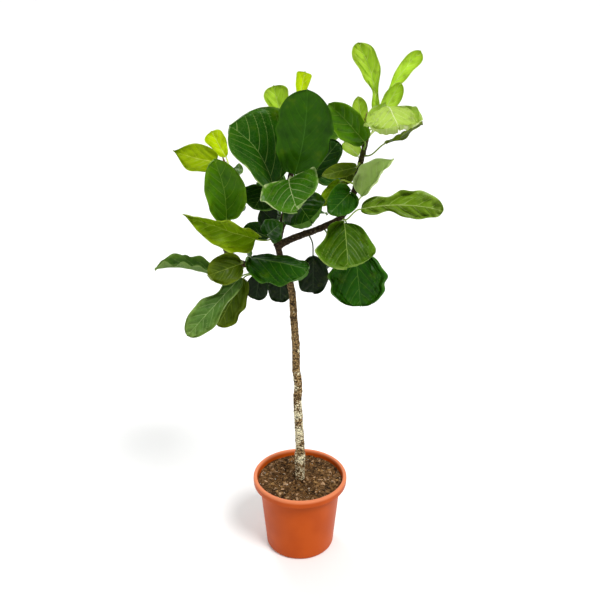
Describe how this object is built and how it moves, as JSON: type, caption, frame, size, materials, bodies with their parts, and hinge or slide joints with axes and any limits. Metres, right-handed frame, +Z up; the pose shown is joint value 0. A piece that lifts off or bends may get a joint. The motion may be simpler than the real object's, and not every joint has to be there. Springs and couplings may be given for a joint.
{
  "type": "potted fiddle leaf fig",
  "caption": "Young fiddle leaf fig trained as a small tree: a bare forked stem carries a crown of large violin-shaped leaves above a round tapered plastic pot of soil.",
  "frame": {"origin": "middle of the pot's flat base, on the surface it stands on", "axes": "+Z up along the stem from the pot's base, -Y towards the crown's front, +X to the right seen from the front"},
  "size_m": [0.7167, 0.4899, 1.4046],
  "materials": {
    "terracotta_plastic": "satin",
    "potting_mix": "matte",
    "fig_bark": "matte",
    "bud_sheath": "matte",
    "young_leaf": "satin",
    "full_leaf": "satin",
    "old_leaf": "satin"
  },
  "bodies": {
    "root": {"pot": "terracotta_plastic", "potting_soil": "potting_mix", "woody_stem": "fig_bark", "left_bud": "bud_sheath", "centre_bud": "bud_sheath", "right_bud": "bud_sheath", "back_bud": "bud_sheath", "centre_leaf_01": "full_leaf", "centre_leaf_02": "old_leaf", "centre_leaf_03": "full_leaf", "centre_leaf_04": "old_leaf", "centre_leaf_05": "old_leaf", "centre_leaf_06": "old_leaf", "centre_leaf_07": "old_leaf", "centre_leaf_08": "young_leaf", "centre_leaf_09": "young_leaf", "centre_leaf_10": "young_leaf", "centre_leaf_11": "full_leaf", "centre_leaf_12": "old_leaf", "centre_leaf_13": "old_leaf", "left_leaf_01": "full_leaf", "left_leaf_02": "young_leaf", "left_leaf_03": "young_leaf", "left_leaf_04": "full_leaf", "left_leaf_05": "young_leaf", "left_leaf_06": "full_leaf", "left_leaf_07": "full_leaf", "left_leaf_08": "old_leaf", "left_leaf_09": "old_leaf", "left_leaf_10": "old_leaf", "left_leaf_11": "old_leaf", "left_leaf_12": "old_leaf", "right_leaf_01": "full_leaf", "right_leaf_02": "young_leaf", "right_leaf_03": "young_leaf", "right_leaf_04": "young_leaf", "right_leaf_05": "young_leaf", "right_leaf_06": "young_leaf", "right_leaf_07": "young_leaf", "right_leaf_08": "old_leaf", "right_leaf_09": "young_leaf", "right_leaf_10": "full_leaf", "right_leaf_11": "full_leaf", "right_leaf_12": "full_leaf", "right_leaf_13": "old_leaf", "right_leaf_14": "young_leaf", "right_leaf_15": "old_leaf", "right_leaf_16": "full_leaf", "right_leaf_17": "full_leaf", "right_leaf_18": "old_leaf", "right_leaf_19": "old_leaf", "right_leaf_20": "old_leaf", "trunk_leaf_01": "old_leaf", "trunk_leaf_02": "old_leaf", "back_leaf_01": "full_leaf", "back_leaf_02": "full_leaf", "back_leaf_03": "old_leaf", "back_leaf_04": "old_leaf", "back_leaf_05": "old_leaf", "back_leaf_06": "old_leaf"}
  },
  "joints": []
}
